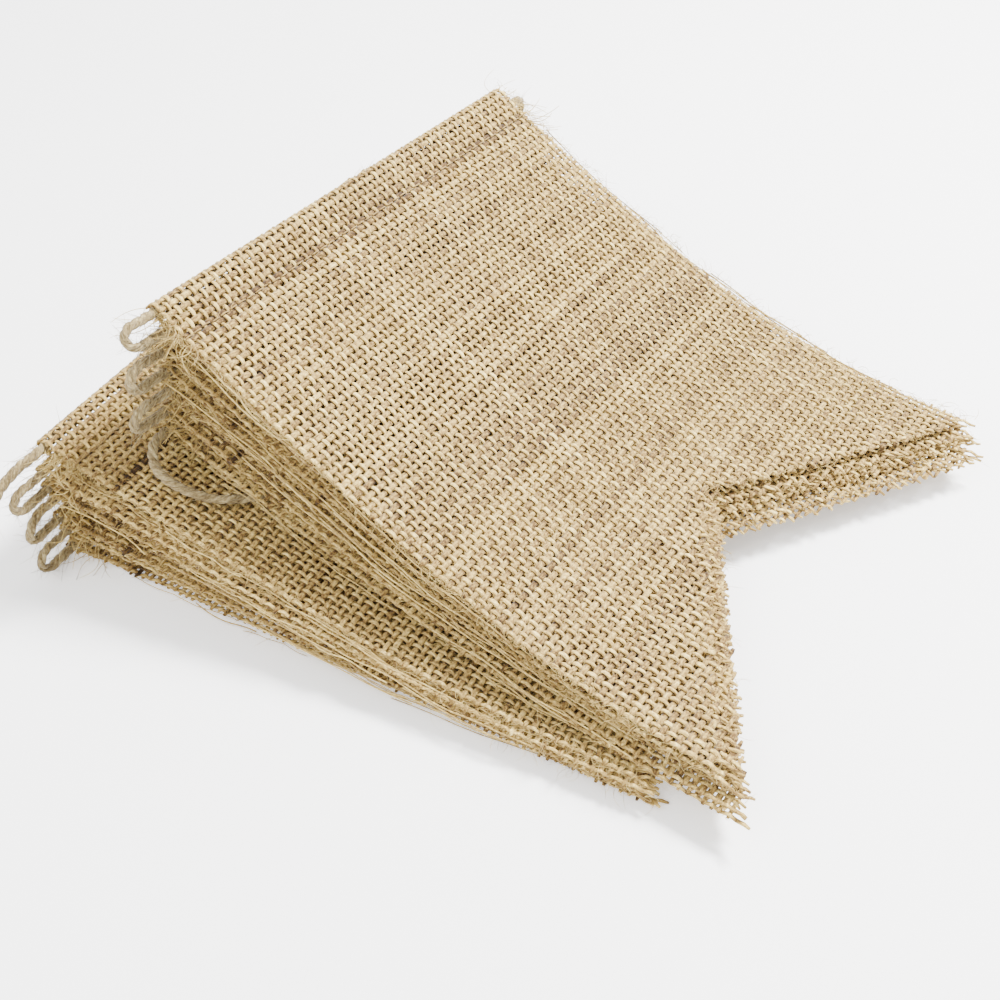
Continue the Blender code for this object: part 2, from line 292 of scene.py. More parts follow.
def fibre_material(name, stops, streak_scale, bump_distance, roughness, sheen):
    """Spun fibre: a ramp of tones, streaks along the yarn, browner patches of bark, and fine ridges."""
    made = bpy.data.materials.new(name)
    made.use_nodes = True
    tree = made.node_tree
    shader = tree.nodes["Principled BSDF"]
    shader.inputs["Sheen Weight"].default_value = sheen
    shader.inputs["Sheen Roughness"].default_value = 0.5
    shader.inputs["Specular IOR Level"].default_value = 0.25
    tone = shader_node(tree, "ShaderNodeAttribute", attribute_name="tone")
    fibre = shader_node(tree, "ShaderNodeAttribute", attribute_name="fibre")
    stretch = shader_node(tree, "ShaderNodeMapping")
    stretch.inputs["Scale"].default_value = STREAK_STRETCH
    tree.links.new(fibre.outputs["Vector"], stretch.inputs["Vector"])
    streaks = shader_node(tree, "ShaderNodeTexNoise", Scale=streak_scale, Detail=4.0, Roughness=0.62)
    tree.links.new(stretch.outputs["Vector"], streaks.inputs["Vector"])
    patches = shader_node(tree, "ShaderNodeTexNoise", Scale=PATCH_SCALE, Detail=3.0, Roughness=0.6)
    tree.links.new(fibre.outputs["Vector"], patches.inputs["Vector"])
    shifts = shader_node(tree, "ShaderNodeMath", operation="ADD")
    tree.links.new(shifted(tree, streaks.outputs["Fac"], STREAK_SHARE), shifts.inputs[0])
    tree.links.new(shifted(tree, patches.outputs["Fac"], PATCH_SHARE), shifts.inputs[1])
    level = shader_node(tree, "ShaderNodeMath", operation="ADD")
    tree.links.new(tone.outputs["Fac"], level.inputs[0])
    tree.links.new(shifts.outputs[0], level.inputs[1])
    ramp = shader_node(tree, "ShaderNodeValToRGB")
    elements = ramp.color_ramp.elements
    for position, colour in stops[1:-1]:
        elements.new(position).color = (*colour, 1)
    elements[0].position, elements[0].color = stops[0][0], (*stops[0][1], 1)
    elements[len(elements) - 1].position = stops[-1][0]
    elements[len(elements) - 1].color = (*stops[-1][1], 1)
    tree.links.new(level.outputs[0], ramp.inputs["Fac"])
    tree.links.new(ramp.outputs["Color"], shader.inputs["Base Color"])
    rough = shader_node(tree, "ShaderNodeMapRange", To_Min=roughness - 0.12, To_Max=roughness + 0.1)
    tree.links.new(streaks.outputs["Fac"], rough.inputs["Value"])
    tree.links.new(rough.outputs["Result"], shader.inputs["Roughness"])
    bump = shader_node(tree, "ShaderNodeBump", Strength=0.7, Distance=bump_distance)
    tree.links.new(streaks.outputs["Fac"], bump.inputs["Height"])
    tree.links.new(bump.outputs["Normal"], shader.inputs["Normal"])
    return made


# %% The finishes
# The ramp's dark end serves darker fibres and also the painted shade that the tone carries in the weave's
# hollows, along the stitch groove and past the flap's raw edge.
burlap = fibre_material(
    "burlap_yarn",
    (
        (0.0, (0.034, 0.015, 0.003)), (0.25, (0.120, 0.063, 0.014)), (0.5, (0.330, 0.212, 0.060)),
        (0.75, (0.560, 0.395, 0.118)), (1.0, (0.880, 0.690, 0.270)),
    ),
    3.3, 0.00018, 0.82, 0.12,
)
jute = fibre_material(
    "jute_strand",
    (
        (0.0, (0.045, 0.028, 0.008)), (0.3, (0.130, 0.088, 0.032)), (0.55, (0.245, 0.180, 0.078)),
        (0.8, (0.380, 0.300, 0.145)), (1.0, (0.560, 0.470, 0.260)),
    ),
    2.8, 0.00022, 0.75, 0.18,
)
cotton = fibre_material(
    "sewing_cotton",
    (
        (0.0, (0.090, 0.050, 0.015)), (0.3, (0.180, 0.110, 0.035)), (0.6, (0.300, 0.195, 0.062)),
        (1.0, (0.480, 0.350, 0.130)),
    ),
    4.0, 0.00005, 0.7, 0.1,
)
print("finishes", burlap.name, jute.name, cotton.name)

# %% [markdown]
# Yarns to mesh. A yarn is a thin tube that follows a list of points. A bevelled curve for each of the many
# hundred yarns would be slow and couldn't be flattened, so one class makes a single mesh of many such tubes.
# It sets a small ring of points round each centre, joins the rings and closes the ends. Where a point would
# fall below the floor it is lifted onto it.

# %% Tubes of yarn
FLOOR_MARGIN = 0.0001


class Yarns:
    """Collects yarns, then makes one mesh of them."""

    def __init__(self, sides):
        self.sides = sides
        self.points, self.quads, self.caps, self.tone, self.fibre = [], [], [], [], []
        self.total = 0
        start = -math.pi / 2 + math.pi / sides
        self.angles = start + np.arange(sides) * 2 * math.pi / sides

    def add(self, centre, up, half_width, half_height, tone, number):
        """One yarn through `centre`, flattened across `up`."""
        count = len(centre)
        forward = np.gradient(centre, axis=0)
        forward /= np.maximum(np.linalg.norm(forward, axis=1), 1e-12)[:, None]
        side = np.cross(up, forward)
        side /= np.maximum(np.linalg.norm(side, axis=1), 1e-12)[:, None]
        top = np.cross(forward, side)
        half_width = np.broadcast_to(half_width, count)
        half_height = np.broadcast_to(half_height, count)
        ring = (
            centre[:, None, :]
            + side[:, None, :] * (np.cos(self.angles)[None, :] * half_width[:, None])[..., None]
            + top[:, None, :] * (np.sin(self.angles)[None, :] * half_height[:, None])[..., None]
        )
        length = np.concatenate([[0.0], np.cumsum(np.linalg.norm(np.diff(centre, axis=0), axis=1))])
        around = np.arange(self.sides) * 2.4 / self.sides
        fibre = np.empty((count, self.sides, 3))
        fibre[..., 0] = 1000 * length[:, None]
        fibre[..., 1] = around[None, :]
        fibre[..., 2] = 7.3 * number
        first = self.total
        rows = first + np.arange(count - 1)[:, None] * self.sides
        a = rows + np.arange(self.sides)[None, :]
        b = rows + (np.arange(self.sides)[None, :] + 1) % self.sides
        self.quads.append(np.stack([a, b, b + self.sides, a + self.sides], axis=-1).reshape(-1, 4))
        last = first + (count - 1) * self.sides
        ends = np.arange(self.sides)
        self.caps.append(np.stack([first + ends[::-1], last + ends]))
        self.points.append(ring.reshape(-1, 3))
        self.tone.append(np.repeat(np.broadcast_to(tone, count), self.sides))
        self.fibre.append(fibre.reshape(-1, 3))
        self.total += count * self.sides

    def mesh_object(self, name, finish, slot):
        """All yarns so far as one object, with the tone and the fibre coordinates on its points."""
        points = np.concatenate(self.points)
        points[:, 2] = np.maximum(points[:, 2], FLOOR_MARGIN)
        quads = np.concatenate(self.quads)
        caps = np.concatenate(self.caps)
        mesh = bpy.data.meshes.new(name)
        mesh.vertices.add(len(points))
        mesh.vertices.foreach_set("co", points.astype(np.float32).ravel())
        corners = np.concatenate([quads.ravel(), caps.ravel()]).astype(np.int32)
        mesh.loops.add(len(corners))
        mesh.loops.foreach_set("vertex_index", corners)
        starts = np.concatenate([
            np.arange(len(quads)) * 4, len(quads) * 4 + np.arange(len(caps)) * self.sides,
        ]).astype(np.int32)
        mesh.polygons.add(len(starts))
        mesh.polygons.foreach_set("loop_start", starts)
        mesh.polygons.foreach_set("use_smooth", np.ones(len(starts), bool))
        mesh.update(calc_edges=True)
        tone = mesh.attributes.new("tone", "FLOAT", "POINT")
        tone.data.foreach_set("value", np.concatenate(self.tone).astype(np.float32))
        fibre = mesh.attributes.new("fibre", "FLOAT_VECTOR", "POINT")
        fibre.data.foreach_set("vector", np.concatenate(self.fibre).astype(np.float32).ravel())
        made = bpy.data.objects.new(name, mesh)
        bpy.context.scene.collection.objects.link(made)
        mesh.materials.append(finish)
        return made


# %% Slow unevenness
def drift(rng, length, step, low, high):
    """A smooth random value for distances 0 to `length`, with a new level about every `step`."""
    knots = max(4, int(length / step) + 2)
    levels = rng.uniform(low, high, knots)
    fine = np.linspace(0, knots - 1, knots * 8)
    values = np.interp(fine, np.arange(knots), levels)
    values = np.convolve(np.pad(values, 6, mode="edge"), np.ones(13) / 13, mode="valid")
    return lambda at: np.interp(at, fine / (knots - 1) * length, values)


# %% [markdown]
# The woven cloth. Burlap is a plain weave: lengthwise yarns, the warp, pass over and under crosswise yarns,
# the weft. Each flag's cloth starts at the raw edge of its flap, goes round the twine in the hem and runs
# on to the tips. The path of that cross-section is one rounded line, pinched where the stitches are, and the
# yarns are set out along it.

# %% Cross-section of the cloth round the hem
WARP_COUNT = 70
warp_pitch = FLAG_WIDTH / WARP_COUNT
WEFT_PITCH = 0.00207
WARP_RISE = 0.00034
WEFT_RISE = 0.00020
WARP_HALF_HEIGHT = 0.00027
WEFT_HALF_HEIGHT = 0.00030
FLAP_LAYER = 0.00052
STITCH_PULL = 0.35
PROFILE_STEP = 0.0002


def cloth_profile(flap_up):
    """(q, s, n, normal s, normal n) along the cloth's middle, from the flap's raw edge to past the tips."""
    side = 1 if flap_up else -1
    middle = channel_radius + CLOTH / 2
    corners = [(raw_edge_s, side * FLAP_LAYER), (stitch_s, side * FLAP_LAYER * STITCH_PULL)]
    for angle in np.linspace(HEM_OPENING, 2 * math.pi - HEM_OPENING, 16):
        corners.append((middle * math.cos(angle), side * middle * math.sin(angle)))
    corners += [(stitch_s, -side * FLAP_LAYER * STITCH_PULL), (raw_edge_s, -side * FLAP_LAYER)]
    corners += [(raw_edge_s + FLAP_STEP, 0.0), (tip_s + 0.008, 0.0)]
    corners = np.array(corners)
    length = np.concatenate([[0.0], np.cumsum(np.linalg.norm(np.diff(corners, axis=0), axis=1))])
    q = np.arange(0.0, length[-1], PROFILE_STEP)
    line = np.stack([np.interp(q, length, corners[:, k]) for k in (0, 1)], axis=1)
    reach = 4
    padded = np.pad(line, ((reach, reach), (0, 0)), mode="reflect", reflect_type="odd")
    window = np.ones(2 * reach + 1) / (2 * reach + 1)
    line = np.stack([np.convolve(padded[:, k], window, "valid") for k in (0, 1)], axis=1)
    forward = np.gradient(line, axis=0)
    forward /= np.linalg.norm(forward, axis=1)[:, None]
    q = np.concatenate([[0.0], np.cumsum(np.linalg.norm(np.diff(line, axis=0), axis=1))])
    return q, line[:, 0], line[:, 1], -forward[:, 1], forward[:, 0]


profiles = {flap_up: cloth_profile(flap_up) for flap_up in (True, False)}
print("cloth from raw edge to tips", round(float(profiles[True][0][-1]), 4), "m")

# %% [markdown]
# Where the cloth lies. Points of the weave are given as u across the flag, q along the cloth from the flap's
# raw edge, and a height above its middle. One object turns them into places in the world for a given flag,
# so the weave itself can be worked out as if the cloth were flat.

# %% The cloth of one flag
# Painted shade along the stitch groove and painted shadow just past the flap's raw edge: their widths and how
# far they darken the tone.
STITCH_SHADE_WIDTH = 0.0009
STITCH_SHADE_TONE = 0.14
FLAP_SHADOW_WIDTH = 0.0012
FLAP_SHADOW_TONE = 0.45
UP_PROBE = 0.0005


class Cloth:
    """The cloth of one flag, round its hem and on to the tips."""

    def __init__(self, flag):
        self.flag = flag
        self.q, self.s, self.n, self.normal_s, self.normal_n = profiles[flag.flap_up]
        self.length = self.q[-1]
        self.body_start = int(np.argmin(self.s))

    def s_at(self, q):
        return np.interp(q, self.q, self.s)

    def q_at(self, s):
        """q on the flag's body, past the hem's fold, for a distance s from the twine."""
        return float(np.interp(s, self.s[self.body_start:], self.q[self.body_start:]))

    def painted_shade(self, q):
        """Change of tone: painted shade on the yarns where the stitches pinch, and a painted shadow just past
        the flap's raw edge.
        """
        s = self.s_at(q)
        # Painted shade in the groove that the stitches pull into the cloth.
        stitch_shade = STITCH_SHADE_TONE * np.exp(-((s - stitch_s) / STITCH_SHADE_WIDTH) ** 2)
        # Painted shadow of the flap's raw edge, on the body just beyond it, only where the flap lies on top.
        flap_shadow = FLAP_SHADOW_TONE * np.exp(-((s - raw_edge_s - FLAP_SHADOW_WIDTH) / FLAP_SHADOW_WIDTH) ** 2)
        return -stitch_shade - flap_shadow * (q > self.q[self.body_start]) * self.flag.flap_up

    def spots(self, u, q, height):
        """Centre points and upward directions at u across and q along the cloth, `height` above it."""
        s, n = self.s_at(q), np.interp(q, self.q, self.n)
        normal_s = np.interp(q, self.q, self.normal_s)
        normal_n = np.interp(q, self.q, self.normal_n)
        beyond = np.maximum(q - self.length, 0) - np.maximum(-q, 0)
        at_s, at_n = s + height * normal_s + beyond * normal_n, n + height * normal_n
        centre = self.flag.place(u, at_s, at_n)
        up = self.flag.place(u, at_s + UP_PROBE * normal_s, at_n + UP_PROBE * normal_n) - centre
        return centre, up / np.linalg.norm(up, axis=1)[:, None]


# %% [markdown]
# Weaving. For yarn i of the warp and yarn j of the weft, the warp is on top where i + j is even. Between
# crossings the yarns swap sides. A regular grid would look like wire mesh, so each yarn also wanders a
# little, gets thicker and thinner, and ends about where the cut is. The lengthwise yarns are the thinner and
# prouder ones. The two flags whose tops show have two points to each crossing, and the others have one.

# %% Unevenness of the yarns
WANDER_STEP = 0.009
WANDER = 0.09
WIDTH_STEP = 0.012
WARP_HALF_WIDTH = (0.00048, 0.00068)
WEFT_HALF_WIDTH = (0.00066, 0.00090)
TONE_STEP = 0.02
TONE_DRIFT = 0.1
PLACE_SPREAD = 0.05
END_TAPER = 0.6
END_MARGIN = 0.0004
SPLAY_REACH = 0.003
CUT_SPREAD = (-0.0006, 0.0004)
SIDE_SPREAD = (-0.0007, 0.0003)
FLAP_SPREAD = 0.0012
FRAYED_YARNS = 3
FRAY = 0.0016
LEAST_RUN = 2.5


def yarn_tone(rng, level, length, at, rise, painted_top_light, painted_under_shade):
    """Tone of each point: the yarn's own level, slow drift, a painted highlight where it lies on top and
    painted shade where it dives under.
    """
    slow = level + rng.normal(0, 0.07) + drift(rng, length, TONE_STEP, -TONE_DRIFT, TONE_DRIFT)(at)
    # Where the yarn rises it gets painted light on top of the crossing, and where it dives under it gets
    # painted shade.
    return slow + np.where(rise > 0, painted_top_light, painted_under_shade) + rng.normal(0, 0.03, len(at))


# %% Lengthwise yarns
def weave_warp(cloth, rng, warp, warp_u, shares, flag_tone):
    for i in range(WARP_COUNT):
        cut = notch_s + NOTCH_DEPTH * abs(warp_u[i]) / half_flag
        from_side = min(i, WARP_COUNT - 1 - i)
        fray = rng.uniform(*CUT_SPREAD) + (rng.uniform(0, FRAY) if from_side < FRAYED_YARNS else 0)
        end_q = cloth.q_at(cut) + fray
        start_q = -rng.uniform(0.0, FLAP_SPREAD)
        rows = np.arange(int((end_q - END_MARGIN) / WEFT_PITCH) + 1)
        q = (rows[:, None] + shares[None, :]).ravel() * WEFT_PITCH
        rise = np.repeat(np.where((i + rows) % 2 == 0, 1.0, -1.0), len(shares)) * WARP_RISE
        kept = q < end_q - END_MARGIN
        q = np.concatenate([[start_q], q[kept], [end_q]])
        rise = np.concatenate([[0.0], rise[kept], [rng.uniform(-1, 1) * WARP_RISE]])
        wander = drift(rng, cloth.length, WANDER_STEP, -WANDER, WANDER)(q) * warp_pitch
        width = drift(rng, cloth.length, WIDTH_STEP, *WARP_HALF_WIDTH)(q)
        width *= rng.uniform(0.86, 1.12)
        width[-1] *= END_TAPER
        # Lengthwise yarns start from a higher tone, as painted light on the proud warp. 0.08 and -0.16 are
        # its painted top light and painted shade under crossings, and the cloth adds painted shade at the
        # stitch groove and the flap's raw edge.
        tone = yarn_tone(rng, 0.66 + flag_tone, cloth.length, q, rise, 0.08, -0.16) + cloth.painted_shade(q)
        past = np.maximum(q - end_q + SPLAY_REACH, 0.0)
        centre, up = cloth.spots(warp_u[i] + wander + past * rng.uniform(-0.5, 0.5), q, rise)
        warp.add(centre, up, width, WARP_HALF_HEIGHT, tone, i)


# %% Crosswise yarns
def weft_runs(cloth, q):
    """Left and right ends of the cloth at q: one run, or two on either side of the notch."""
    s = float(cloth.s_at(q))
    if q > cloth.q[cloth.body_start] and s > notch_s:
        inner = (s - notch_s) / NOTCH_DEPTH * half_flag
        return [(-half_flag, -inner), (inner, half_flag)]
    return [(-half_flag, half_flag)]


def weave_weft(cloth, rng, weft, weft_q, shares, flag_tone):
    for j in range(len(weft_q)):
        for left, right in weft_runs(cloth, weft_q[j]):
            if right - left < LEAST_RUN * warp_pitch:
                continue
            left -= rng.uniform(*SIDE_SPREAD)
            right += rng.uniform(*SIDE_SPREAD)
            columns = np.arange(math.floor((left + half_flag) / warp_pitch), WARP_COUNT + 1)
            u = -half_flag + (columns[:, None] + shares[None, :]).ravel() * warp_pitch
            rise = np.repeat(np.where((j + columns) % 2 == 0, -1.0, 1.0), len(shares)) * WEFT_RISE
            inside = (u > left + END_MARGIN) & (u < right - END_MARGIN)
            u = np.concatenate([[left], u[inside], [right]])
            end_rise = rng.uniform(-1, 1, 2) * WEFT_RISE
            rise = np.concatenate([end_rise[:1], rise[inside], end_rise[1:]])
            across = u + half_flag
            wander = drift(rng, FLAG_WIDTH, WANDER_STEP, -WANDER, WANDER)(across) * WEFT_PITCH
            width = drift(rng, FLAG_WIDTH, WIDTH_STEP, *WEFT_HALF_WIDTH)(across)
            width *= rng.uniform(0.86, 1.14)
            width[[0, -1]] *= END_TAPER
            # Crosswise yarns start from a lower tone, as painted shade for lying beneath the warp. 0.05 and
            # -0.20 are their painted top light and painted shade under crossings, and the cloth's term below
            # adds painted shade at the stitch groove and the flap's raw edge.
            tone = yarn_tone(rng, 0.52 + flag_tone, FLAG_WIDTH, across, rise, 0.05, -0.20)
            centre, up = cloth.spots(u, weft_q[j] + wander, rise)
            weft.add(centre, up, width, WEFT_HALF_HEIGHT, tone + cloth.painted_shade(weft_q[j]), 200 + j)


# %% Weave one flag
def weave_flag(flag, fine):
    """The flag's two pieces, lengthwise and crosswise yarns, and its cloth."""
    rng = np.random.default_rng(100 + flag.number)
    cloth = Cloth(flag)
    sides = 5 if flag.number == flag_count - 1 else 4
    warp, weft = Yarns(sides), Yarns(sides)
    shares = np.array((0.27, 0.73) if fine else (0.5,))
    weft_count = int(cloth.q_at(tip_s) / WEFT_PITCH)
    flag_tone = rng.uniform(-0.03, 0.03)
    warp_u = -half_flag + (np.arange(WARP_COUNT) + 0.5) * warp_pitch
    warp_u = warp_u + rng.normal(0, PLACE_SPREAD * warp_pitch, WARP_COUNT)
    weft_q = (np.arange(weft_count) + 0.5) * WEFT_PITCH + rng.normal(0, PLACE_SPREAD * WEFT_PITCH, weft_count)
    weave_warp(cloth, rng, warp, warp_u, shares, flag_tone)
    weave_weft(cloth, rng, weft, weft_q, shares, flag_tone)
    name = f"flag_{flag.number:02d}"
    lengthwise = warp.mesh_object(name + "_warp", burlap, "burlap")
    crosswise = weft.mesh_object(name + "_weft", burlap, "burlap")
    return lengthwise, crosswise, cloth


# %% [markdown]
# The hem's stitches. A machine has sewn one row across the flag, through both layers. On each face it shows
# as a row of short, slightly sunk threads, each of them a little tube with a bend in it.

# %% Stitches
STITCH_PITCH = 0.0031
STITCH_GAP = 0.0005
THREAD_RADIUS = 0.00024
THREAD_HEIGHT = 0.0005
THREAD_BOW = 0.00022
THREAD_SWAY = 0.00012


def sew_hem(flag):
    rng = np.random.default_rng(300 + flag.number)
    thread = Yarns(3)
    share = np.linspace(0, 1, 5)
    for face in (1, -1):
        for k in range(int(FLAG_WIDTH / STITCH_PITCH)):
            start = -half_flag + (k + 0.5 * (face < 0)) * STITCH_PITCH + STITCH_GAP / 2
            u = start + share * (STITCH_PITCH - STITCH_GAP)
            height = FLAP_LAYER * STITCH_PULL + THREAD_HEIGHT + THREAD_BOW * np.sin(share * math.pi)
            centre = flag.place(u, stitch_s + rng.normal(0, THREAD_SWAY), face * height)
            up = np.broadcast_to(UP * face, centre.shape)
            thread.add(centre, up, THREAD_RADIUS, THREAD_RADIUS, 0.55 + rng.normal(0, 0.05), k + 1000)
    return thread.mesh_object(f"flag_{flag.number:02d}_stitches", cotton, "burlap")


# %% [markdown]
# Loose fibres. Cut burlap sheds: hairs stand off its face, the hem's cut ends fray into tufts, and the
# outermost yarns come free and lie along the sides. A particle system would give hairs without control over
# where they lie, so each of them is a thin tube like a yarn, in a piece of its own.

# %% Frayed corners and stray yarns
TUFT_LENGTH = (0.004, 0.0115)
TUFT_RADIUS = (0.00006, 0.00017)
STRAY_LENGTH = (0.018, 0.055)
STRAY_RADIUS = (0.00012, 0.00026)
STRAY_OUT = (-0.0004, 0.0022)
STRAY_DROP = (-0.0007, 0.0005)


def fray_corner(flag, hairs, rng, number):
    """One fibre of the tuft at a cut end of the hem."""
    share = np.linspace(0, 1, 9)[:, None]
    side = rng.choice((-1, 1))
    start = flag.place(side * (half_flag - 0.0015), rng.uniform(-0.002, 0.012), rng.uniform(-0.0005, 0.0005))
    lean = flag.across * side * rng.uniform(0.3, 1.0) + flag.along * rng.uniform(-0.7, 0.9)
    length = rng.uniform(*TUFT_LENGTH)
    sag = UP * rng.uniform(-0.5, 0.25) * length
    curl = np.cross(lean, UP) * rng.uniform(-0.35, 0.35) * length
    centre = start + lean * length * share + sag * share ** 2 + curl * np.sin(share * math.pi)
    radius = rng.uniform(*TUFT_RADIUS) * (1 - 0.5 * share[:, 0])
    up = np.broadcast_to(UP, centre.shape)
    hairs.add(centre, up, radius, radius, 0.70 + rng.normal(0, 0.1), 7000 + number)


def stray_yarn(flag, hairs, rng, number):
    """A yarn that has come free and lies along one side."""
    share = np.linspace(0, 1, 9)
    side = rng.choice((-1, 1))
    length = rng.uniform(*STRAY_LENGTH)
    s = rng.uniform(0.0, notch_s - length * 0.5) + share * length
    out = drift(rng, 1.0, 0.25, *STRAY_OUT)(share)
    drop = drift(rng, 1.0, 0.3, *STRAY_DROP)(share)
    centre = flag.place(side * (half_flag + out), s, drop)
    radius = rng.uniform(*STRAY_RADIUS)
    up = np.broadcast_to(UP, centre.shape)
    hairs.add(centre, up, radius, radius, 0.66 + rng.normal(0, 0.12), 8000 + number)


# %% Short hairs
HAIR_RADIUS = (0.00004, 0.00009)
HAIR_HEIGHT = 0.00062
HAIR_RISE = 0.0009
EDGE_HAIR_LENGTH = (0.002, 0.006)
FACE_HAIR_LENGTH = (0.0015, 0.006)


def short_hair(cloth, hairs, rng, number):
    """A short curled hair, on the cloth's face or at one of its sides."""
    share = np.linspace(0, 1, 5)
    on_edge = rng.random() < 0.5
    length = rng.uniform(*(EDGE_HAIR_LENGTH if on_edge else FACE_HAIR_LENGTH))
    side = rng.choice((-1, 1))
    s = rng.uniform(0, tip_s)
    u = side * (half_flag + rng.uniform(-0.001, 0.0012)) if on_edge else rng.uniform(-half_flag, half_flag)
    s = min(s, notch_s + NOTCH_DEPTH * min(abs(u) / half_flag, 1.0))
    bend = rng.uniform(0, 2 * math.pi) + rng.normal(0, 1.6) * share
    step_u, step_s = np.cos(bend) * length / 4, np.sin(bend) * length / 4
    rise = rng.uniform(0.0, HAIR_RISE) * np.sin(share * math.pi * rng.uniform(0.5, 1.0))
    at_u = u + np.cumsum(step_u) - step_u[0]
    at_q = cloth.q_at(s) + np.cumsum(step_s) - step_s[0]
    centre, up = cloth.spots(at_u, at_q, HAIR_HEIGHT + rise)
    radius = rng.uniform(*HAIR_RADIUS) * (1 - 0.6 * share)
    hairs.add(centre, up, radius, radius, 0.72 + rng.normal(0, 0.08), 2000 + number)


def loose_fibres(cloth, tufts, strays, short):
    rng = np.random.default_rng(500 + cloth.flag.number)
    hairs = Yarns(3)
    for k in range(tufts):
        fray_corner(cloth.flag, hairs, rng, k)
    for k in range(strays):
        stray_yarn(cloth.flag, hairs, rng, k)
    for k in range(short):
        short_hair(cloth, hairs, rng, k)
    return hairs.mesh_object(f"flag_{cloth.flag.number:02d}_hairs", burlap, "burlap")


# %% [markdown]
# One flag after another. Each rides on its own body, so it lifts with its joint. Its solid is hidden,
# and the yarns, stitches and hairs go on the body in its place.

# %% Make every flag
STRAYS = 9
for flag in flags:
    fine = flag.number in (LOWER_COUNT - 1, flag_count - 1)
    node = f"flag_{flag.number:02d}"
    lengthwise, crosswise, cloth = weave_flag(flag, fine)
    stitches = sew_hem(flag)
    hairs = loose_fibres(cloth, 110 if fine else 40, STRAYS, 1400 if fine else 200)
    for piece in (lengthwise, crosswise, stitches, hairs):
        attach(piece, body_of[node])
    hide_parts(node)
face_count = sum(len(piece.data.polygons) for piece in bpy.data.objects if piece.type == "MESH")
print("woven", flag_count, "flags,", face_count, "faces so far")

# %% [markdown]
# The twine. Three strands twist round each other. It runs through each hem and loops up to the next one, on
# the left and on the right by turns. A rope texture on one tube would have a smooth outline, so each strand
# is a tube of its own, on a helix round the twine's path, with short hairs where the twine is out of a hem.

# %% Routes
HIDDEN_STEP = 0.0011
LOOP_STEP = 0.0009
TAIL_STEP = 0.0008
TUCKED_STEP = 0.0006
ROUTE_SAMPLES = 16


def smooth_route(points, step):
    """Points about `step` apart on one smooth curve through `points`."""
    points = [np.array(p, float) for p in points]
    padded = [2 * points[0] - points[1]] + points + [2 * points[-1] - points[-2]]
    fine = []
    for a, b, c, d in zip(padded, padded[1:], padded[2:], padded[3:]):
        for t in np.arange(ROUTE_SAMPLES) / ROUTE_SAMPLES:
            square = (2 * a - 5 * b + 4 * c - d) * t * t
            cube = (3 * b - a - 3 * c + d) * t ** 3
            fine.append((2 * b + (c - a) * t + square + cube) / 2)
    fine.append(points[-1])
    fine = np.array(fine)
    lengths = np.concatenate([[0.0], np.cumsum(np.linalg.norm(np.diff(fine, axis=0), axis=1))])
    count = max(2, round(lengths[-1] / step))
    at = np.linspace(0, lengths[-1], count + 1)
    return np.stack([np.interp(at, lengths, fine[:, k]) for k in range(3)], axis=1)


def loop_points(low_flag, high_flag, side):
    """Out of one hem's end, round, and into the hem above."""
    start, end = low_flag.mouth(side), high_flag.mouth(side)
    out = low_flag.axis() * side
    reach, radius, inside = LOOP_REACH, LOOP_RADIUS, -LOOP_START
    lean = radius / hem_pitch - 0.5
    shape = (
        (inside, 0.0), (0.0, 0.0), (reach * 0.45, -0.2 * lean), (reach * 0.75, -0.8 * lean),
        (reach, -lean), (reach + radius * 0.75, 0.5 - 0.62 * (0.5 + lean)), (reach + radius, 0.5),
        (reach + radius * 0.75, 0.5 + 0.62 * (0.5 + lean)), (reach, 1 + lean),
        (reach * 0.75, 1 + 0.8 * lean), (reach * 0.45, 1 + 0.2 * lean), (0.0, 1.0), (inside, 1.0),
    )
    return [start + (end - start) * share + out * distance for distance, share in shape]


def twine_path(flag):
    """Through one hem and, where another flag follows, up to that one."""
    side = 1 if flag.number % 2 else -1
    start = flag.mouth(-side, -LOOP_START - TWINE_JOINT_GAP)
    if flag.number in (LOWER_COUNT - 1, flag_count - 1):
        return smooth_route([start, flag.mouth(side, -LOOP_START)], HIDDEN_STEP)
    above = flags[flag.number + 1]
    return smooth_route([start] + loop_points(flag, above, side), LOOP_STEP)


# %% Twist
TWIST_LENGTH = 0.0085
STRANDS = 3
STRAND_OFFSET = 0.25 * TWINE
STRAND_RADIUS = 0.27 * TWINE
HAIR_ROOT = 0.42 * TWINE
TWINE_HAIR_RADIUS = (0.00004, 0.00008)


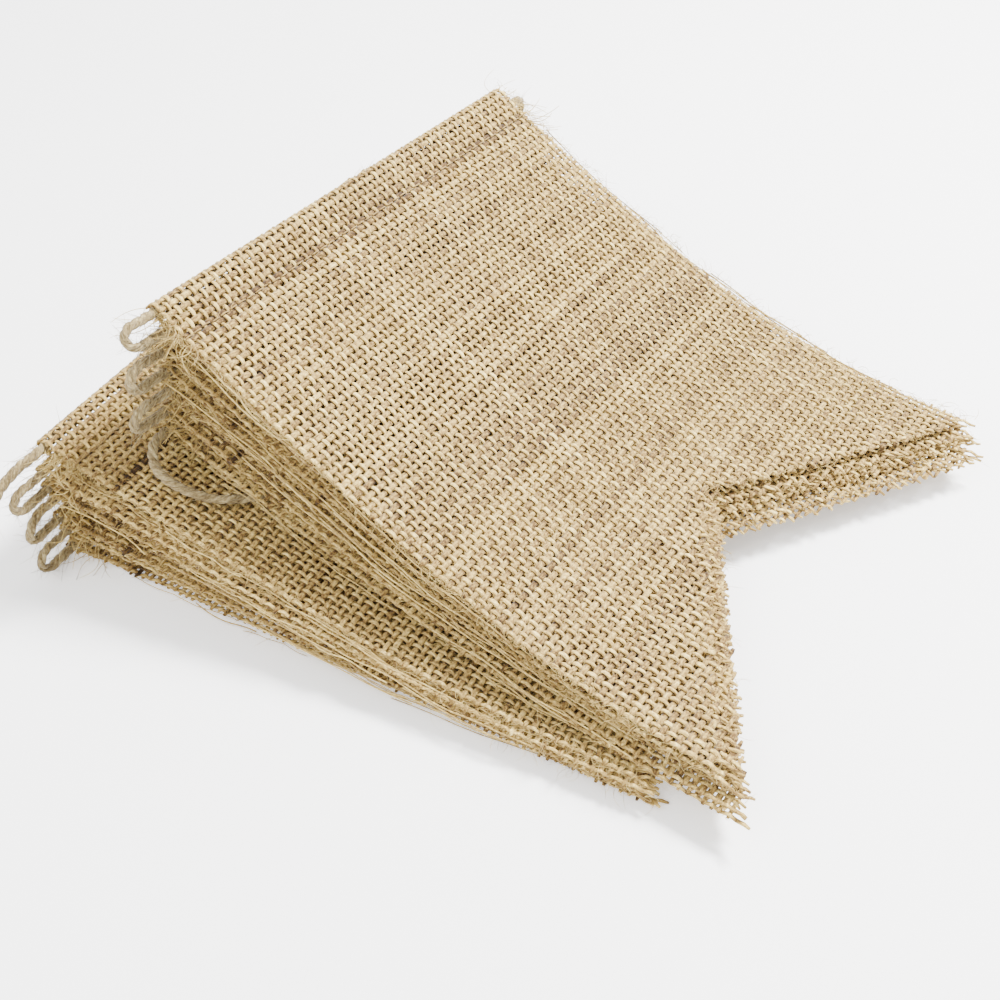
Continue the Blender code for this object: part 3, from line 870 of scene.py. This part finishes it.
def spin_twine(name, path, seed, fuzz, inside=0.0):
    """Three strands round `path`, and a second piece with `fuzz` hairs to the metre, past `inside` metres."""
    rng = np.random.default_rng(seed)
    forward = np.gradient(path, axis=0)
    forward /= np.linalg.norm(forward, axis=1)[:, None]
    side = np.cross(forward[0], UP)
    sides = []
    for direction in forward:
        side = side - direction * float(side @ direction)
        side = side / np.linalg.norm(side)
        sides.append(side)
    sides = np.array(sides)
    tops = np.cross(forward, sides)
    length = np.concatenate([[0.0], np.cumsum(np.linalg.norm(np.diff(path, axis=0), axis=1))])
    strands, hairs = Yarns(6), Yarns(3)
    phase = rng.uniform(0, 2 * math.pi)
    swell = drift(rng, length[-1] + 0.001, 0.01, 0.88, 1.1)(length)
    for k in range(STRANDS):
        turn = phase + 2 * math.pi * (k / STRANDS - length / TWIST_LENGTH)
        out = np.cos(turn)[:, None] * sides + np.sin(turn)[:, None] * tops
        centre = path + out * STRAND_OFFSET * swell[:, None]
        radius = STRAND_RADIUS * swell * rng.uniform(0.94, 1.05)
        tone = 0.55 + rng.normal(0, 0.05) + drift(rng, length[-1] + 0.001, 0.006, -0.12, 0.12)(length)
        strands.add(centre, out, radius * 1.08, radius, tone, 40 * seed + k)
    share = np.linspace(0, 1, 5)
    first_bare = 2 + int(inside / length[-1] * (len(path) - 6))
    for k in range(max(6, int((length[-1] - inside) * fuzz))):
        at = rng.integers(first_bare, len(path) - 2)
        turn = rng.uniform(0, 2 * math.pi)
        out = math.cos(turn) * sides[at] + math.sin(turn) * tops[at]
        reach = rng.uniform(0.001, 0.005)
        lean = forward[at] * rng.choice((-1, 1)) + 0.35 * rng.normal(0, 1, 3)
        bow = out * rng.uniform(0.1, 0.7)
        drawn_out = share[:, None] * reach * lean + (share ** 1.5)[:, None] * reach * bow
        centre = path[at] + out * HAIR_ROOT + drawn_out
        radius = rng.uniform(*TWINE_HAIR_RADIUS) * (1 - 0.6 * share)
        up = np.broadcast_to(out, centre.shape)
        hairs.add(centre, up, radius, radius, 0.75 + rng.normal(0, 0.08), 5000 + k)
    strands_piece = strands.mesh_object(name + "_strands", jute, "jute_twine")
    hairs_piece = hairs.mesh_object(name + "_hairs", jute, "jute_twine")
    return strands_piece, hairs_piece


# %% Twine through the hems
HAIRS_PER_METRE = 3600
MOUTH_FUZZ = 0.01
for flag in flags:
    node = f"twine_{flag.number:02d}"
    path = twine_path(flag)
    strands, hairs = spin_twine(node, path, 20 + flag.number, HAIRS_PER_METRE, FLAG_WIDTH - MOUTH_FUZZ)
    for piece in (strands, hairs):
        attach(piece, body_of[node])
    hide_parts(node)
print("twine runs", flag_count)

# %% [markdown]
# Free ends. The tail leaves the lower pile's top hem, drops to the floor and ends in a small coil, which
# holds the length that isn't laid out. The other end is tucked between the piles. Both are spun like the
# rest of the twine.

# %% Tail and coil
def coil_points():
    """Four turns, two beside each other on the floor and two on top of them."""
    first = math.radians(-15.0)
    knots = (
        (0.0, COIL_MEAN_RADIUS + 1.35 * TWINE, 0.62), (0.10, COIL_MEAN_RADIUS + 0.9 * TWINE, 0.55),
        (0.22, COIL_MEAN_RADIUS + 0.5 * TWINE, 0.5), (0.95, COIL_MEAN_RADIUS + 0.5 * TWINE, 0.5),
        (1.12, COIL_MEAN_RADIUS - 0.5 * TWINE, 0.5), (1.95, COIL_MEAN_RADIUS - 0.5 * TWINE, 0.5),
        (2.12, COIL_MEAN_RADIUS - 0.5 * TWINE, 1.5), (2.95, COIL_MEAN_RADIUS - 0.5 * TWINE, 1.5),
        (3.12, COIL_MEAN_RADIUS + 0.5 * TWINE, 1.5), (3.90, COIL_MEAN_RADIUS + 0.5 * TWINE, 1.5),
    )
    turns = np.linspace(0.03, 3.90, 110)
    radius = np.interp(turns, [k[0] for k in knots], [k[1] for k in knots])
    height = np.interp(turns, [k[0] for k in knots], [k[2] for k in knots]) * TWINE
    angle = first + turns * 2 * math.pi
    return COIL_CENTRE + np.stack([radius * np.cos(angle), radius * np.sin(angle), height], axis=1)


tail_path = smooth_route(list(TAIL_ROUTE) + list(coil_points()), TAIL_STEP)
tail, tail_hairs = spin_twine("twine_tail", tail_path, 61, 600)

# %% Tie round the coil
TIE_PITCH = 0.0009
tie_angle = math.radians(150)
tie_out = np.array((math.cos(tie_angle), math.sin(tie_angle), 0.0))
tie_middle = COIL_CENTRE + tie_out * COIL_MEAN_RADIUS + UP * TWINE
tie = Yarns(6)
for wrap in range(4):
    share = np.linspace(0, 2 * math.pi, 33)
    wide = TWINE + 0.0004
    ring = np.cos(share)[:, None] * tie_out * wide + np.sin(share)[:, None] * UP * (TWINE * 0.93)
    slide = np.cross(UP, tie_out) * (wrap - 1.5) * TIE_PITCH
    outward = ring / np.linalg.norm(ring, axis=1)[:, None]
    tie.add(tie_middle + ring + slide, outward, 0.0004, 0.0003, 0.5, 900 + wrap)
tie_piece = tie.mesh_object("coil_tie", jute, "jute_twine")

for piece in (tail, tail_hairs, tie_piece):
    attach(piece, body_of["twine_tail"])
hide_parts("twine_tail", "twine_coil")
tuple(flags[LOWER_COUNT - 1].mouth(-1))

# %% Tucked end
tucked_path = smooth_route(TUCKED_ROUTE, TUCKED_STEP)
tucked, tucked_hairs = spin_twine("tucked_end", tucked_path, 71, 900)
for piece in (tucked, tucked_hairs):
    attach(piece, body_of["tucked_end"])
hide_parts("tucked_end")
tuple(flags[LOWER_COUNT].mouth(-1))

# %% [markdown]
# Floor and light. The table top is a plain white sheet that gives off a little light of its own, so that it
# stays pale. A small key lamp from the right picks out each yarn and leaves the gaps dark. A weak lamp from
# the left and a white surround keep the lower pile from going too dark.

# %% Floor
bpy.ops.object.select_all(action="DESELECT")
bpy.ops.mesh.primitive_plane_add(size=6, location=(0, 0, -FLOOR_MARGIN))
floor = bpy.context.object
floor.name = "table_top"
white = bpy.data.materials.new("white_table")
white.use_nodes = True
surface = white.node_tree.nodes["Principled BSDF"]
surface.inputs["Base Color"].default_value = (0.93, 0.93, 0.93, 1)
surface.inputs["Roughness"].default_value = 0.6
surface.inputs["Emission Color"].default_value = (1, 1, 1, 1)
surface.inputs["Emission Strength"].default_value = 0.5
floor.data.materials.append(white)

# %% Light
def soft_light(name, place, aim, size, power):
    """A square lamp at `place` that points at `aim`."""
    bpy.ops.object.light_add(type="AREA", location=place)
    lamp = bpy.context.object
    lamp.name = name
    lamp.data.size = size
    lamp.data.energy = power
    lamp.rotation_euler = (Vector(aim) - Vector(place)).to_track_quat("-Z", "Y").to_euler()
    return lamp


soft_light("key_light", (0.46, 0.26, 0.80), (0, 0, 0), 0.22, 43)
soft_light("fill_light", (-0.55, -0.40, 0.75), (0, 0, 0), 0.7, 9)
world = bpy.data.worlds.new("studio")
bpy.context.scene.world = world
world.use_nodes = True
background = world.node_tree.nodes["Background"]
background.inputs["Color"].default_value = (1, 1, 1, 1)
background.inputs["Strength"].default_value = 1.6
